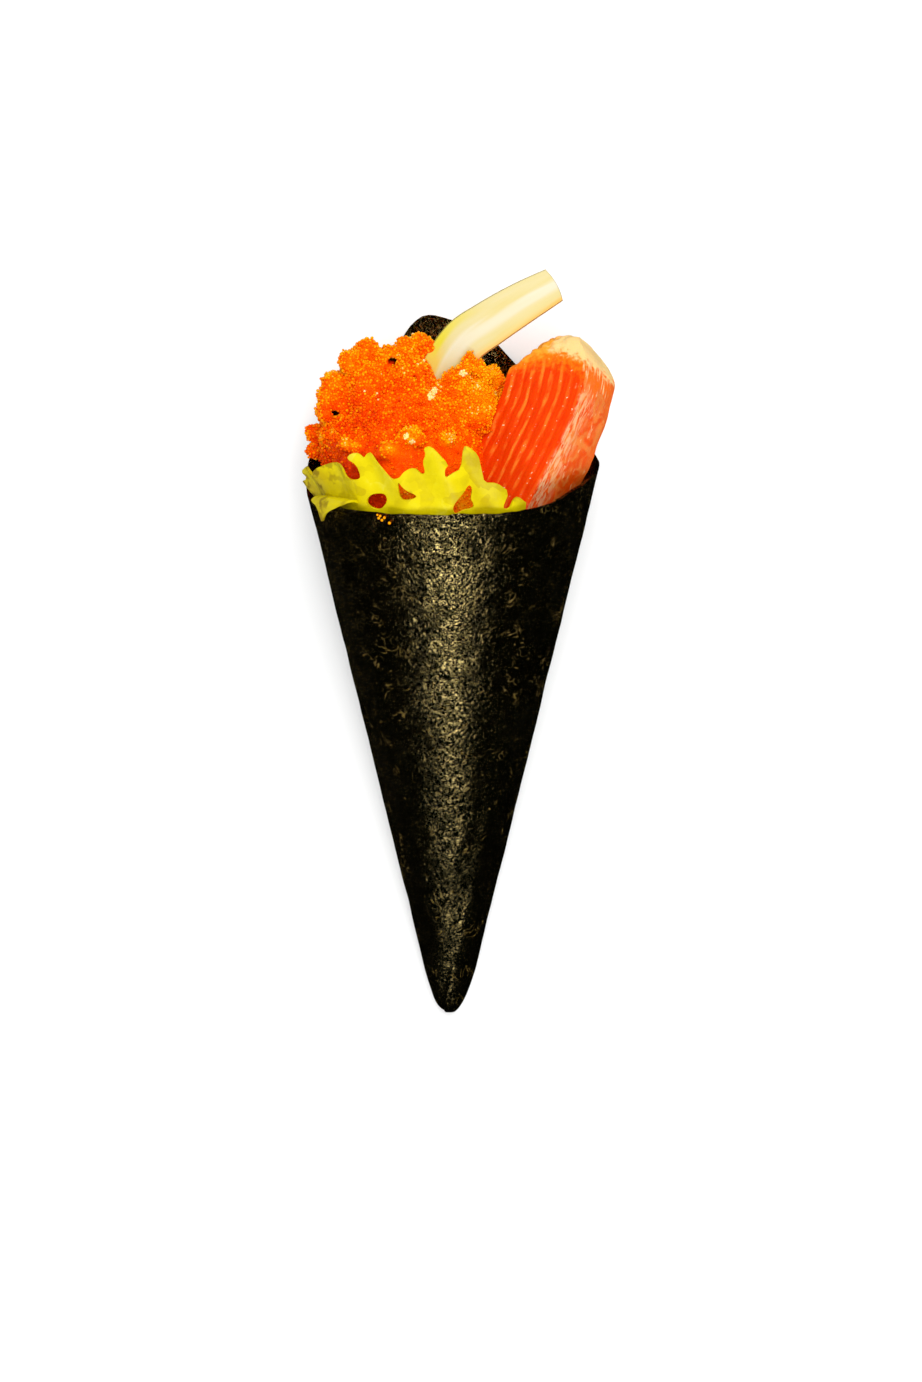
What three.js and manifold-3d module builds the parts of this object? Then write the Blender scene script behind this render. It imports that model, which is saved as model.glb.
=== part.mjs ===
// A temaki hand roll: a sheet of dried seaweed wound into a cone and filled with flying-fish roe, a slab
// of salmon, a strip of avocado and a frilled lettuce leaf.
//
// The roll lies on its back. Its closed tip points to -Y, its open mouth to +Y, and +Z is up. The origin
// is on the floor, in the middle of the flat strip that the roll rests on. Lengths are in millimetres.
// A place on the cone is given by its slant, the distance along the wall from the point where the
// straight walls would meet, and its turn, the angle round the axis from the top, positive to +X.
import * as THREE from "three";
import { ImprovedNoise } from "three/addons/math/ImprovedNoise.js";
import { mergeVertices } from "three/addons/utils/BufferGeometryUtils.js";
import Module from "manifold-3d";

const { degToRad, euclideanModulo, lerp, radToDeg, smoothstep } = THREE.MathUtils;
const along = (x, y, z) => new THREE.Vector3(x, y, z);

// ---- Seaweed cone
const HALF_ANGLE = degToRad(13.47);
const TIP_Y = -70; // the closed tip
const TIP_SLANT = 11.9; // slant at which the blunt tip closes
const TIP_BLUNT = 1.65; // length over which the tip rounds off
const SAG = 0.8; // how far the roll's own weight flattens its back
const WALL = 0.7; // thickness
const PLY = 0.4; // step where the sheet's outer edge laps over the wall
const LAP = degToRad(70); // how far round the two layers lie on each other
const LAP_RAMP = degToRad(14); // turn over which the outer layer climbs onto the inner one
const LEDGE = degToRad(0.8); // turn that the outer edge's face takes
const SEAM_TURN = degToRad(118); // where the outer edge meets the rim
const SEAM_MISS = 4; // how far the outer edge, a straight line on the sheet, passes beside the tip
const WRINKLE = 0.22; // depth of the sheet's soft waves
const WRINKLE_SIZE = 13;
const ROW_SPREAD = 2.3; // crowds the rows of points towards the tip, where the wall curves most
const FIT = 0.4; // space left between neighbouring pieces

// The rim, as turns in degrees and slants: level in front, a little higher on the right, and rising at
// the back into the rounded corner of the sheet.
const RIM = [
  [0, 124], [40, 124.2], [62, 126.5], [90, 127.4], [112, 128.6], [139, 134], [156.5, 142.2], [166.5, 147.2],
  [178.5, 150], [186.5, 151], [192.5, 148.8], [199.5, 142.6], [214.5, 137], [235, 133], [252, 127],
  [272, 121.6], [310, 123], [360, 124],
];

// ---- Roe heap: rounded lobes, each a centre and three radii, seen from HEAP_CENTRE
const HEAP_CENTRE = along(-4, 36, 25);
const HEAP_LOBES = [
  [along(-7.7, 37, 27), along(19.4, 24.5, 22.5)], // the dome in the mouth
  [along(-15.7, 53.8, 27), along(8.4, 9.8, 14)], // upper left shoulder
  [along(-7.2, 55.5, 27), along(7.8, 10, 14.5)], // top
  [along(5.4, 51.5, 28), along(7.6, 8.6, 11)], // right, beside the salmon
  [along(-19.2, 44, 27), along(8.6, 9, 15)], // low on the left, over the rim
  [along(1.8, 53.6, 31), along(7.4, 6.6, 8.4)], // between those, over the foot of the avocado
  [along(5.6, 50.5, 35), along(5.4, 7.2, 6.6)], // over the salmon's left edge
  [along(8.5, 28, 18), along(19, 14.5, 16)], // bed under the salmon
];
const CLUMP_SIZE = 5.2;
const CLUMP_DEPTH = 2;
const LUMP_SIZE = 2.7; // smaller lumps on the clumps
const LUMP_DEPTH = 0.7;
const ROOT_SLANT = 120; // the roe that fills the cone reaches this slant
const CAVITY_SLANT = 190; // the heap stays inside the wall carried on to here, which is beyond it

// ---- Salmon slab, which leans right out of the cone and curves back upright towards its shown end.
// Rows from that end down into the cone: the distance from the end, then where three of the slab's long
// edges pass: the shown face's left edge, its right edge, and the far edge of the slab's right side.
const SALMON_EDGES = [
  [0, [12.8, 61, 38.5], [24.8, 66.6, 48.5], [31.8, 60.2, 38]],
  [8, [11.4, 58, 38], [27.4, 60.4, 48], [33.4, 55.2, 37]],
  [16, [9.8, 53.4, 37.5], [26.4, 53.2, 47.5], [32.6, 50.2, 36]],
  [26, [6.8, 46.8, 37], [22.6, 44.4, 47], [29.8, 42, 35.5]],
  [38, [2.6, 37.6, 36], [17.6, 34.4, 46], [25.2, 32.4, 34.5]],
  [52, [-2.6, 26.4, 35], [11.8, 22.4, 44], [19.2, 20, 33]],
  [66, [-7.8, 15.2, 34], [6, 10.4, 42], [13.2, 7.6, 31.5]],
];
const SALMON_ROUNDING = 0.16;
const SALMON_END = 8; // length over which the shown end rounds off
const SALMON_END_LOSS = 0.72; // how much of the section's area the very end has lost
const SALMON_END_TAPER = 0.1; // the share of that loss that the slab's width takes too
const SALMON_DOME = 3.5; // how far the end bulges in its middle
const SALMON_DOME_FADE = 20; // length over which the rows of points straighten out again
const FLAKES = 8;
const FLAKE_DEPTH = 0.55;
const FLAKE_START = [6, 10]; // the lines between the flakes deepen from here to here, below the end
const MOUTH_SLANT = 128.5; // past this the slab may spread out over the wall's line
const MOUTH_SPREAD = 0.5; // by this much for each millimetre

// ---- Avocado strip: middle line, and a section that narrows to the cut end
const AVOCADO_LINE = [
  along(-5.5, 42, 30),
  along(-2.2, 55.6, 32),
  along(3.1, 64.1, 33.4),
  along(7.7, 67.4, 33.8),
  along(14.4, 71.6, 34.2),
  along(21, 75.3, 34.4),
];
const AVOCADO_WIDTH = 9.5;
const AVOCADO_END_WIDTH = 7.2;
const AVOCADO_DEPTH = 6.4;
const AVOCADO_ROUNDING = 0.3;
const AVOCADO_CUT_BULGE = 0.5;

// ---- Lettuce leaf: lies inside the front wall, its frill standing over the rim
const LEAF = 0.8; // thickness
const LEAF_INSET = 1.85; // middle of the leaf, inside the outer face of the wall
const LEAF_SPAN = [-90, 34.5]; // turns in degrees
const LEAF_REACH = [-10, 16]; // from its hidden lower edge to past its highest lobe, measured from the rim
const LEAF_LEAN_LEFT = degToRad(18); // how far the frill leans out at its left end
const LEAF_LEAN = degToRad(-10); // and in over the fillings elsewhere
const RUFFLE = 0.5;
const RUFFLES = 17; // waves of the ruffle in one whole turn, by 2 pi
const FRILL_RUFFLE = 0.6; // added to the ruffle over FRILL_RISE past the rim
const FRILL_RISE = 8;
const LEAF_ROOM_TOP = 16.5; // the other fillings keep clear of the leaf up to here past the rim
const LEAF_ROOM_MIDDLE = -8; // at this turn in degrees
const LEAF_ROOM_FALL = 0.0014; // and lower, by the square of the turn, to each side
const LEAF_ROOM_DEPTH = 14;

// The frill's edge and its gaps. Each point is a turn in degrees and a distance past the rim.
const FRILL = [
  [-89, 1], [-85, 2.2], [-83, 3.2], [-86, 4.3], [-77, 5.6], [-80, 7.2], [-67, 8.1], [-57.5, 8.4], [-52.5, 9],
  [-49.5, 8.8], [-48, 6.5], [-45, 6], [-40.5, 6.2], [-39, 6.8], [-41, 9.2], [-45, 10.5], [-43.5, 11.5],
  [-41, 11.5], [-38.5, 10.4], [-37, 11.5], [-35.5, 11.7], [-32.5, 10], [-27.5, 8.2], [-24, 6.8], [-20.5, 7.3],
  [-19, 8.4], [-16.5, 9.1], [-14, 8.9], [-11.5, 7.7], [-10, 8.3], [-11, 10.5], [-9.5, 12.2], [-10.3, 13.5],
  [-8, 14], [-6, 13.5], [0, 10.1], [-1.7, 9.2], [-1.5, 7.4], [1, 8.2], [5, 8.9], [6, 13.4], [8, 13.6],
  [12, 12], [13.5, 8.9], [15, 6], [20, 6.1], [25.5, 4], [22.5, 0.6], [25.7, 0.4], [27.7, 2.2], [30.5, 2.6],
  [34.5, 1],
];
const FRILL_GAPS = [
  [[-35, 1.6], [-31.2, 3.2], [-27.4, 1.7], [-31.4, 0.1]],
  [[-20.5, 5.9], [-17.5, 4.4], [-14.5, 3.2], [-20, 3.3]],
  [[8.5, 5.8], [10, 4.7], [9, 2.8], [10.5, 1.7], [10, 0.9], [5.5, 0.7], [2.5, -0.4], [1.3, 1.4], [5.5, 3.9]],
];

// The lobe that hangs over the rim. Each row is the turn, inset and distance past the rim of its middle
// line, and how far it reaches to the left and to the right.
const HANGING_LOBE = [
  [-52, 1.85, -4, 11, 11],
  [-52, 1.85, 0.6, 11, 11],
  [-52, 0.8, 1.8, 11, 11],
  [-52, -0.8, 1.7, 11, 11],
  [-52.5, -1.8, 0.6, 10.5, 11],
  [-54, -2.1, -0.7, 7.5, 8],
  [-55.5, -2.2, -1.7, 3.5, 4],
  [-56.5, -2.2, -2.7, 0.6, 0.6],
];

const noise = new ImprovedNoise();
const wasm = await Module();
wasm.setup();

// ---- Making solids

// Welds a three.js geometry, moves each of its vertices with place, and turns its faces outwards.
function shaped(geometry, place) {
  const bare = new THREE.BufferGeometry().setIndex(geometry.getIndex());
  bare.setAttribute("position", geometry.getAttribute("position").clone());
  const welded = mergeVertices(bare, 1e-5);
  const position = welded.getAttribute("position");
  for (let i = 0; i < position.count; i++) {
    const moved = place(along(position.getX(i), position.getY(i), position.getZ(i)));
    position.setXYZ(i, moved.x, moved.y, moved.z);
  }
  const faces = [];
  const index = welded.getIndex().array;
  for (let i = 0; i < index.length; i += 3) {
    const [a, b, c] = index.slice(i, i + 3);
    if (a !== b && b !== c && c !== a) faces.push([a, b, c]);
  }
  const corner = (i) => new THREE.Vector3().fromBufferAttribute(position, i);
  const volume = faces.reduce((sum, [a, b, c]) => sum + corner(a).dot(corner(b).cross(corner(c))), 0);
  const outwards = volume > 0 ? faces : faces.map(([a, b, c]) => [a, c, b]);
  welded.setIndex(outwards.flat());
  return welded;
}

function solid(geometry) {
  return new wasm.Manifold(
    new wasm.Mesh({
      numProp: 3,
      vertProperties: new Float32Array(geometry.getAttribute("position").array),
      triVerts: new Uint32Array(geometry.getIndex().array),
    }),
  );
}

// The largest body of a cut solid, so that no loose scrap is left beside it.
function largestBody(cut) {
  return cut.decompose().sort((a, b) => b.volume() - a.volume())[0];
}

function geometryOf(body) {
  const mesh = body.getMesh();
  return new THREE.BufferGeometry()
    .setAttribute("position", new THREE.BufferAttribute(new Float32Array(mesh.vertProperties), 3))
    .setIndex(new THREE.BufferAttribute(new Uint32Array(mesh.triVerts), 1));
}

// Rounds the corners of a unit square section, in place: 0 leaves it square and 1 makes it round.
function roundedSection(p, rounding) {
  const x = p.x;
  p.x *= Math.sqrt(1 - 2 * rounding * p.z * p.z);
  p.z *= Math.sqrt(1 - 2 * rounding * x * x);
  return p;
}

// ---- Cone

const AXIS = along(0, Math.cos(HALF_ANGLE), Math.sin(HALF_ANGLE));
const TOP = along(0, -Math.sin(HALF_ANGLE), Math.cos(HALF_ANGLE));
const APEX = along(0, TIP_Y, -SAG).addScaledVector(along(0, -1, 0), TIP_SLANT * Math.cos(HALF_ANGLE) ** 2);

// The direction at an angle from one unit vector towards a second, square to it.
function swung(from, to, angle) {
  return from.clone().multiplyScalar(Math.cos(angle)).addScaledVector(to, Math.sin(angle));
}

const outwardAt = (turn) => swung(TOP, along(1, 0, 0), turn);

// A point at an inset from the wall's outer face. The back lies flat on the floor.
function wallPoint(slant, turn, inset, wrinkle = 0) {
  const blunt = Math.sqrt(1 - Math.exp(-Math.max(slant - TIP_SLANT - inset, 0) / TIP_BLUNT));
  const outward = outwardAt(turn);
  const middle = APEX.clone().addScaledVector(AXIS, slant * Math.cos(HALF_ANGLE));
  const round = slant * Math.sin(HALF_ANGLE);
  const at = middle.clone().addScaledVector(outward, round).divideScalar(WRINKLE_SIZE);
  const rumpled = round - inset + wrinkle * noise.noise(at.x, at.y, at.z);
  const point = middle.addScaledVector(outward, rumpled * blunt);
  point.z = Math.max(point.z, inset, 0);
  return point;
}

const rimTurns = RIM.map(([turn]) => turn);
const rimSlants = RIM.map(([, slant]) => slant);
const rimCurve = new THREE.CubicInterpolant(rimTurns, rimSlants, 1, []);

function rimSlant(turn) {
  return rimCurve.evaluate(euclideanModulo(radToDeg(turn), 360))[0];
}

// The sheet's outer edge, which spirals round the cone towards the tip.
function seamTurn(slant) {
  const onSheet = Math.acos(SEAM_MISS / rimSlant(SEAM_TURN)) - Math.acos(SEAM_MISS / slant);
  return SEAM_TURN - onSheet / Math.sin(HALF_ANGLE);
}

// A unit profile for a wall: outer rows at radius 2, inner rows at radius 1, ends on the axis.
function wallProfile(outerRows, innerRows) {
  const row = (i, count) => (i / count) ** ROW_SPREAD;
  const outer = Array.from({ length: outerRows }, (_, i) => new THREE.Vector2(2, row(i + 1, outerRows)));
  const inner = Array.from({ length: innerRows }, (_, i) => new THREE.Vector2(1, row(i + 1, innerRows)));
  return [new THREE.Vector2(0, 0), ...outer, ...inner.reverse(), new THREE.Vector2(0, 1e-3)];
}

function seaweedCone() {
  const columns = 56;
  const span = 2 * Math.PI - LEDGE;
  return shaped(new THREE.LatheGeometry(wallProfile(14, 9), columns), (p) => {
    const ring = Math.hypot(p.x, p.z);
    const inside = ring < 0.5 ? p.y > 0 : ring < 1.5;
    const start = TIP_SLANT + (inside ? WALL : 0);
    if (ring < 0.5) return wallPoint(start, 0, inside ? WALL : 0);
    const column = Math.round(euclideanModulo(Math.atan2(p.x, p.z) / (2 * Math.PI), 1) * columns);
    const round = (span * (column % columns)) / (columns - 1);
    const slant = lerp(start, rimSlant(SEAM_TURN + round), p.y);
    const lift = PLY * smoothstep(round, span - LAP - LAP_RAMP, span - LAP);
    const turn = seamTurn(slant) + round;
    return inside ? wallPoint(slant, turn, WALL) : wallPoint(slant, turn, -lift, WRINKLE);
  });
}

// A filled cone with its face at an inset from the wall, closed across the mouth at a slant.
function filledCone(inset, topSlant) {
  const rows = 10;
  const profile = [new THREE.Vector2(0, 0)];
  for (let i = 1; i <= rows; i++) profile.push(new THREE.Vector2(1, (i / rows) ** ROW_SPREAD));
  profile.push(new THREE.Vector2(0, 1));
  return shaped(new THREE.LatheGeometry(profile, 40), (p) => {
    const slant = lerp(TIP_SLANT + inset, topSlant, p.y);
    const isOnAxis = Math.hypot(p.x, p.z) < 0.5;
    if (isOnAxis && p.y > 0) return APEX.clone().addScaledVector(AXIS, slant * Math.cos(HALF_ANGLE));
    return wallPoint(slant, Math.atan2(p.x, p.z), inset);
  });
}

// ---- Fillings

// How far the heap reaches from its centre in one direction: past the farthest lobe on that line.
function lobeReach(direction) {
  const reaches = HEAP_LOBES.map(([centre, radii]) => {
    const start = HEAP_CENTRE.clone().sub(centre).divide(radii);
    const step = direction.clone().divide(radii);
    const b = start.dot(step);
    const inside = b * b - step.lengthSq() * (start.lengthSq() - 1);
    return inside > 0 ? (Math.sqrt(inside) - b) / step.lengthSq() : 0;
  });
  return Math.max(...reaches);
}

// Rounded bumps of one size, 0 in the creases between them.
const bumps = (p, size) => Math.abs(noise.noise(p.x / size + 7.3, p.y / size + 3.1, p.z / size + 5.7)) * 2;

function roeDome() {
  return shaped(new THREE.IcosahedronGeometry(1, 15), (p) => {
    const direction = p.normalize();
    const skin = HEAP_CENTRE.clone().addScaledVector(direction, lobeReach(direction));
    const clumps = CLUMP_DEPTH * (bumps(skin, CLUMP_SIZE) - 0.5);
    const lumps = LUMP_DEPTH * (bumps(skin, LUMP_SIZE) - 0.5);
    return skin.addScaledVector(direction, clumps + lumps);
  });
}

// Moves a point in towards the axis where it would stand in the wall or past it.
function heldInside(point, inset) {
  const height = point.clone().sub(APEX).dot(AXIS);
  const middle = APEX.clone().addScaledVector(AXIS, height);
  const spread = MOUTH_SPREAD * Math.max(0, height / Math.cos(HALF_ANGLE) - MOUTH_SLANT);
  const room = height * Math.tan(HALF_ANGLE) - inset + spread;
  const outward = point.clone().sub(middle);
  return middle.addScaledVector(outward, Math.min(1, room / outward.length()));
}

const salmonBacks = SALMON_EDGES.map(([back]) => back);
const salmonCorners = SALMON_EDGES.flatMap(([, ...edges]) => edges.flat());
const salmonCurve = new THREE.CubicInterpolant(salmonBacks, salmonCorners, 9, []);

// Where the slab's left, right and far edges are at a distance from its shown end.
function salmonEdges(back) {
  const corners = salmonCurve.evaluate(back);
  return [0, 3, 6].map((first) => along(...corners.slice(first, first + 3)));
}

// A flaked slab of fish. The space it needs is the same slab made fuller by grow on each side.
function salmonSlab(grow = 0) {
  const length = salmonBacks.at(-1);
  const [ahead, behind] = [0, SALMON_END].map((back) => {
    const [left, , far] = salmonEdges(back);
    return left.add(far);
  });
  const forward = ahead.sub(behind).normalize();
  const shape = new THREE.BoxGeometry(1, 1, 1, 4 * FLAKES, 11, 4);
  return shaped(shape, (p) => {
    const back = (0.5 - p.y) * length;
    const [left, right, far] = salmonEdges(back);
    const across = right.clone().sub(left);
    const through = right.clone().sub(far);
    const end = Math.sqrt(1 - SALMON_END_LOSS * Math.max(0, 1 - back / SALMON_END) ** 2);
    const groove = Math.max(0, Math.cos(2 * Math.PI * FLAKES * p.x)) * smoothstep(back, ...FLAKE_START);
    const flake = p.z === 0.5 && Math.abs(p.x) < 0.5 && grow === 0 ? FLAKE_DEPTH * groove : 0;
    const fade = Math.max(0, 1 - back / SALMON_DOME_FADE);
    const dome = SALMON_DOME * (1 - 4 * p.x * p.x) * (1 - 2 * p.z * p.z) * fade;
    const wide = lerp(1, end, SALMON_END_TAPER) + (2 * grow) / across.length();
    const deep = end + (2 * grow - flake) / through.length();
    roundedSection(p, SALMON_ROUNDING);
    const point = left
      .add(far)
      .divideScalar(2)
      .addScaledVector(forward, dome + 2 * grow * p.y)
      .addScaledVector(across, p.x * wide)
      .addScaledVector(through, p.z * deep);
    return grow === 0 ? heldInside(point, WALL + FIT) : point;
  });
}

function avocadoStrip(grow = 0) {
  const line = new THREE.CatmullRomCurve3(AVOCADO_LINE);
  return shaped(new THREE.BoxGeometry(1, 1, 1, 4, 14, 4), (p) => {
    const place = p.y + 0.5;
    const tangent = line.getTangentAt(place);
    const across = tangent.clone().cross(along(0, 0, 1)).normalize();
    const face = across.clone().cross(tangent);
    const width = lerp(AVOCADO_WIDTH, AVOCADO_END_WIDTH, Math.max(0, 2 * place - 1) ** 2) + 2 * grow;
    const bulge = place === 1 ? AVOCADO_CUT_BULGE * (1 - 4 * p.x * p.x) : 0;
    roundedSection(p, AVOCADO_ROUNDING);
    return line
      .getPointAt(place)
      .addScaledVector(tangent, bulge + grow * Math.sign(p.y))
      .addScaledVector(across, p.x * width)
      .addScaledVector(face, p.z * (AVOCADO_DEPTH + 2 * grow));
  });
}

// A point at a distance outside the leaf's middle, which follows the wall to the rim and leans past it.
function leafPoint(turn, past, outside) {
  const side = smoothstep(-turn, degToRad(35), degToRad(88));
  const lean = lerp(LEAF_LEAN, LEAF_LEAN_LEFT, side) * smoothstep(past, 0.3, 2.5);
  return wallPoint(rimSlant(turn) + Math.min(past, 0), turn, LEAF_INSET)
    .addScaledVector(swung(AXIS, outwardAt(turn), HALF_ANGLE + lean), Math.max(past, 0))
    .addScaledVector(swung(outwardAt(turn), AXIS, -HALF_ANGLE - lean), outside);
}

function lettuceLeaf() {
  const [first, last] = LEAF_SPAN;
  const [root, top] = LEAF_REACH;
  const points = (pairs) => pairs.map(([x, y]) => new THREE.Vector2(x, y));
  const outline = new THREE.Shape(points([[last, root], [first, root], ...FRILL]).reverse());
  outline.holes = FRILL_GAPS.map((gap) => new THREE.Path(points(gap)));
  const cutter = new THREE.ExtrudeGeometry(outline, { depth: 2, bevelEnabled: false }).translate(0, 0, -1);
  const blank = shaped(new THREE.BoxGeometry(1, 1, 1, 44, 11, 1), (p) => {
    return along(lerp(first, last, p.x + 0.5), lerp(root, top, p.y + 0.5), p.z);
  });
  const flat = solid(blank).intersect(solid(shaped(cutter, (p) => p)));
  const leaf = shaped(geometryOf(flat), (p) => {
    const turn = degToRad(p.x);
    const height = RUFFLE + FRILL_RUFFLE * smoothstep(p.y, 0, FRILL_RISE);
    return leafPoint(turn, p.y, p.z * LEAF + height * Math.sin(turn * RUFFLES + p.y / 4));
  });
  return geometryOf(solid(leaf).add(solid(hangingLobe())));
}

function hangingLobe() {
  const rows = HANGING_LOBE.length - 1;
  const middle = ([turn, inset, past]) => wallPoint(rimSlant(degToRad(turn)) + past, degToRad(turn), inset);
  return shaped(new THREE.BoxGeometry(1, 1, 1, 6, rows, 1), (p) => {
    const row = Math.round((p.y + 0.5) * rows);
    const [turn, inset, past, left, right] = HANGING_LOBE[row];
    const before = middle(HANGING_LOBE[Math.max(0, row - 1)]);
    const step = middle(HANGING_LOBE[Math.min(rows, row + 1)]).sub(before);
    const at = turn + 2 * p.x * (p.x < 0 ? left : right);
    const across = swung(along(1, 0, 0), TOP, -degToRad(at));
    const normal = across.cross(step).normalize();
    return middle([at, inset, past]).addScaledVector(normal, p.z * LEAF);
  });
}

// The space in front that the leaf has to itself, which reaches out past the wall.
function leafRoom() {
  const [first, last] = LEAF_SPAN;
  const clear = LEAF / 2 + RUFFLE + FRILL_RUFFLE + FIT;
  return shaped(new THREE.BoxGeometry(1, 1, 1, 20, 6, 1), (p) => {
    const degrees = lerp(first - 3, last + 3, p.x + 0.5);
    const top = LEAF_ROOM_TOP - LEAF_ROOM_FALL * (degrees - LEAF_ROOM_MIDDLE) ** 2;
    const past = lerp(LEAF_REACH[0] - 1, top, p.y + 0.5);
    return leafPoint(degToRad(degrees), past, p.z > 0 ? LEAF_ROOM_DEPTH : -clear);
  });
}

// ---- The roll

const leafSpace = solid(leafRoom());
const heapSpace = solid(filledCone(WALL + FIT, CAVITY_SLANT)).subtract(leafSpace);
const salmon = largestBody(solid(salmonSlab()).subtract(leafSpace));
const roe = largestBody(
  solid(roeDome())
    .intersect(heapSpace)
    .add(solid(filledCone(WALL + FIT, ROOT_SLANT)).subtract(leafSpace))
    .subtract(solid(salmonSlab(FIT)))
    .subtract(solid(avocadoStrip(FIT))),
);

const roll = new THREE.Group();

function addPiece(name, geometry, color, roughness) {
  const material = new THREE.MeshStandardMaterial({ color, roughness, metalness: 0 });
  const piece = new THREE.Mesh(geometry, material);
  piece.name = name;
  roll.add(piece);
}

addPiece("nori_cone", seaweedCone(), 0x14110a, 0.45);
addPiece("roe_heap", geometryOf(roe), 0xfa6a05, 0.25);
addPiece("salmon_slab", geometryOf(salmon), 0xf2602a, 0.35);
addPiece("avocado_strip", avocadoStrip(), 0xf6e7b0, 0.45);
addPiece("lettuce_leaf", lettuceLeaf(), 0xdfd21e, 0.5);

export default roll;
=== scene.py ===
"""A temaki hand roll: a wound sheet of nori filled with flying-fish roe, salmon, avocado and lettuce.

The roll lies on its back, its tip towards -Y and its mouth towards +Y, with +Z up from the floor.
Shapes are worked out in millimetres and brought to metres when a piece is finished. A place on the cone
is given by its slant, the distance along the wall from the point where the straight walls would meet,
and its turn, the angle round the axis from the top, positive to +X.
"""

import bisect
import math
import random

import bmesh
import bpy
import numpy as np
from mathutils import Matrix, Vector, noise
from mathutils.bvhtree import BVHTree


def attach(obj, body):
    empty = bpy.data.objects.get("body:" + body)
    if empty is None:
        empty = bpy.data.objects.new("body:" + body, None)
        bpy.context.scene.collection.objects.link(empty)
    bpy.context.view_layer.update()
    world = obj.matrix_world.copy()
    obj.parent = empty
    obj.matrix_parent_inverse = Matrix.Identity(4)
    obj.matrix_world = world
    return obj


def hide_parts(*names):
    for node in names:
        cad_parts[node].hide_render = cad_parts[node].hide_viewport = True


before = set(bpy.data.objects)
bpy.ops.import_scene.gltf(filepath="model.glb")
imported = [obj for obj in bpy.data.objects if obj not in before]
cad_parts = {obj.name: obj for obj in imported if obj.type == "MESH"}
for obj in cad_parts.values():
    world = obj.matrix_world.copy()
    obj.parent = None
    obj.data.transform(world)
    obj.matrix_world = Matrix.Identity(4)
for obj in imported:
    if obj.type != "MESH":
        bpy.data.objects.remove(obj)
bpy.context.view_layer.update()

MM = 0.001

# ---- Sizes of the seaweed cone

HALF_ANGLE = math.radians(13.47)
TIP_Y = -70
TIP_SLANT = 11.9
TIP_BLUNT = 1.65  # length over which the tip rounds off
SAG = 0.8  # how far the roll's own weight flattens its back
SHEET = 0.32  # thickness of the dried sheet
PLY = 0.4  # step where the sheet's outer edge laps over the wall
LAP = math.radians(70)
LAP_RAMP = math.radians(14)
SEAM_TURN = math.radians(118)  # where the sheet's outer edge meets the rim
SEAM_MISS = 4  # how far that edge, a straight line on the sheet, passes beside the tip

# The rim, as turns in degrees and slants.
RIM = [
    (0, 124), (40, 124.2), (62, 126.5), (90, 127.4), (112, 128.6), (139, 134), (156.5, 142.2),
    (166.5, 147.2), (178.5, 150), (186.5, 151), (192.5, 148.8), (199.5, 142.6), (214.5, 137), (235, 133),
    (252, 127), (272, 121.6), (310, 123),
]

AXIS = Vector((0, math.cos(HALF_ANGLE), math.sin(HALF_ANGLE)))
TOP = Vector((0, -math.sin(HALF_ANGLE), math.cos(HALF_ANGLE)))
RIGHT = Vector((1, 0, 0))
UP = Vector((0, 0, 1))
APEX = Vector((0, TIP_Y - TIP_SLANT * math.cos(HALF_ANGLE) ** 2, -SAG))


def lerp(a, b, share):
    return a + (b - a) * share


def smoothstep(value, start, end):
    share = min(1, max(0, (value - start) / (end - start)))
    return share * share * (3 - 2 * share)


def curve_through(pairs, value, period=None):
    """A smooth curve through (place, height) pairs, read at one place."""
    places, heights = (list(column) for column in zip(*pairs))
    if period:
        value %= period
        places = [places[-1] - period, *places, places[0] + period, places[1] + period]
        heights = [heights[-1], *heights, heights[0], heights[1]]
    value = min(max(value, places[0]), places[-1])
    i = min(bisect.bisect_right(places, value), len(places) - 1) - 1

    def slope(first):
        first = min(max(first, 0), len(places) - 2)
        return (heights[first + 1] - heights[first]) / (places[first + 1] - places[first])

    width = places[i + 1] - places[i]
    share = (value - places[i]) / width
    rise = heights[i + 1] - heights[i]
    start = (slope(i - 1) + slope(i)) / 2 * width
    end = (slope(i) + slope(i + 1)) / 2 * width
    bend = 3 * rise - 2 * start - end
    return heights[i] + start * share + bend * share**2 + (start + end - 2 * rise) * share**3


def row_through(places, rows, value):
    """The parts of a row between the rows given, each on its own smooth curve."""
    return [curve_through(list(zip(places, column)), value) for column in zip(*rows)]


def swung(start, towards, angle):
    """The direction at an angle from one unit vector towards a second, square to it."""
    return start * math.cos(angle) + towards * math.sin(angle)


def outward_at(turn):
    return swung(TOP, RIGHT, turn)


def rim_slant(turn):
    return curve_through(RIM, math.degrees(turn), 360)


def wall_point(slant, turn, inset):
    """A point at an inset from the wall's outer face. The back lies flat on the floor."""
    blunt = math.sqrt(1 - math.exp(-max(slant - TIP_SLANT - inset, 0) / TIP_BLUNT))
    reach = (slant * math.sin(HALF_ANGLE) - inset) * blunt
    point = APEX + AXIS * slant * math.cos(HALF_ANGLE) + outward_at(turn) * reach
    point.z = max(point.z, inset, 0)
    return point


def seam_turn(slant):
    """The sheet's outer edge, which spirals round the cone towards the tip."""
    on_sheet = math.acos(SEAM_MISS / rim_slant(SEAM_TURN)) - math.acos(SEAM_MISS / slant)
    return SEAM_TURN - on_sheet / math.sin(HALF_ANGLE)


def roughness_at(point, size, seed=0):
    """Smooth noise between -1 and 1, with bumps of one size."""
    return noise.noise(point / size + Vector((seed, 3.1 * seed, 5.7 * seed)))


def layered(point, layers):
    """The sum of layers of smooth noise, each given as its height, size and seed."""
    return sum(height * roughness_at(point, size, seed) for height, size, seed in layers)


# ---- Making pieces


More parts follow.
